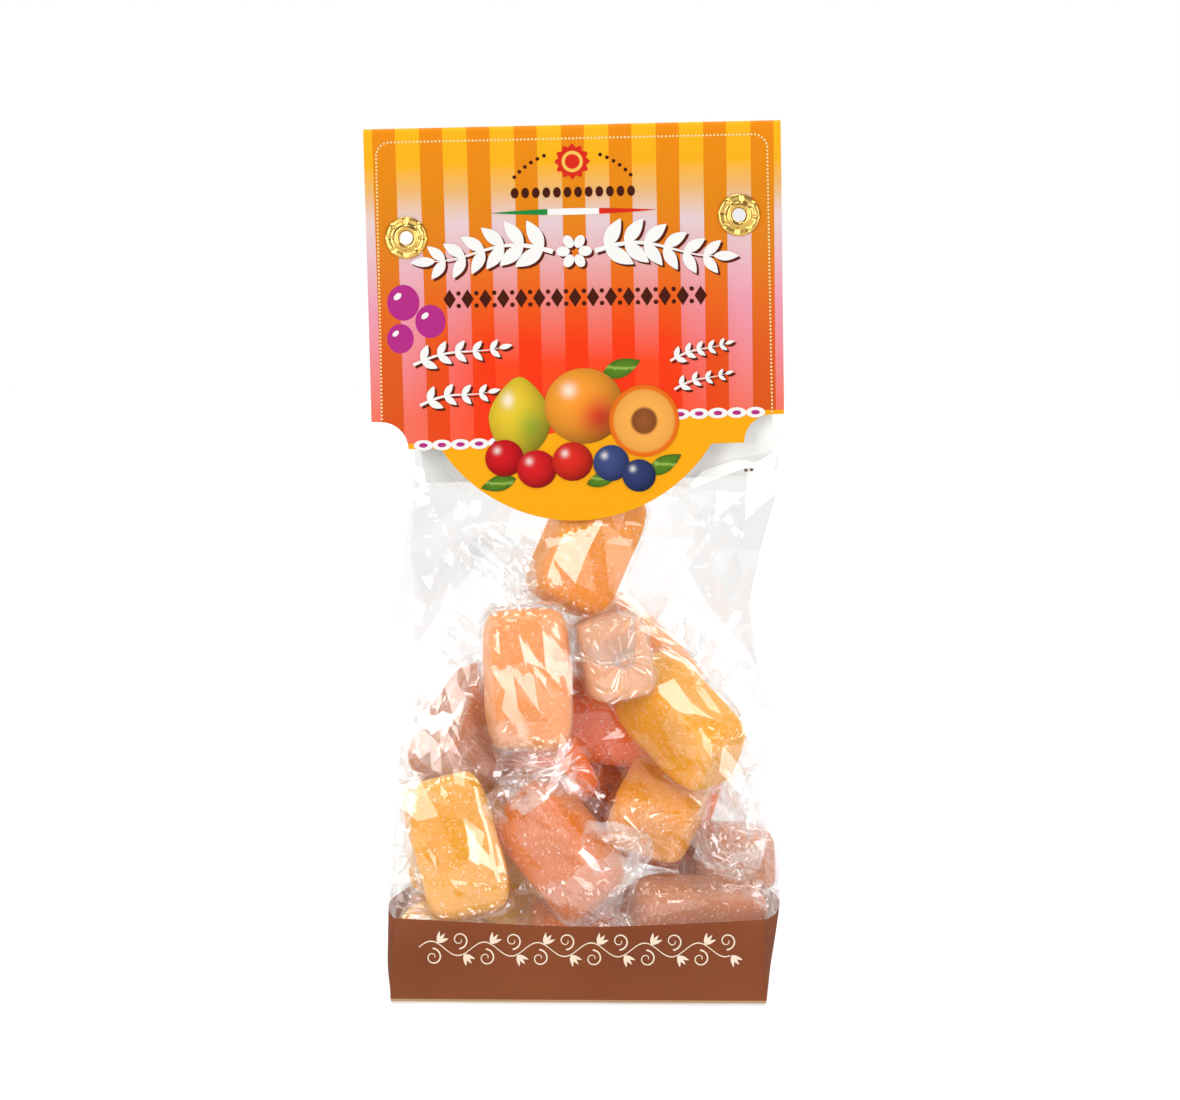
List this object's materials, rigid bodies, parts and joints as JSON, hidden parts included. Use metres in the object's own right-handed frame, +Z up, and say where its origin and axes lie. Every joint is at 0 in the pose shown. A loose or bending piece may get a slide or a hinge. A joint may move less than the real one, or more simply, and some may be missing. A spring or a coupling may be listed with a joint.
{
  "type": "clear gift bag of wrapped jelly candies with a card header",
  "caption": "Sealed clear block-bottom gift bag of wrapped fruit jelly candies, with a printed band round its base and a folded card header held by brass eyelets.",
  "frame": {"origin": "middle of the flat base, on the surface that the bag stands on", "axes": "+Z up, -Y out of the printed front of the header, +X to the right as seen from the front"},
  "size_m": [0.0915, 0.0576, 0.1892],
  "materials": {
    "film": "clear glossy polypropylene film, creased and crinkled",
    "band": "opaque brown ink printed on the film, satin gloss",
    "card": "coated card, printed outside with stripes in orange, pink and red, plain greyish white inside",
    "brass": "stamped brass, bright, with crimp dents",
    "jelly_orange": "fruit jelly, translucent, with a fine dusting",
    "jelly_gold": "fruit jelly, translucent, with a fine dusting",
    "jelly_peach": "fruit jelly, translucent, with a fine dusting",
    "jelly_mauve": "fruit jelly, translucent, with a fine dusting",
    "wrapper": "clear crinkly twist wrapper"
  },
  "bodies": {
    "root": {"bag": "film", "header_card": "card", "eyelet_left": "brass", "eyelet_right": "brass"}
  },
  "joints": []
}
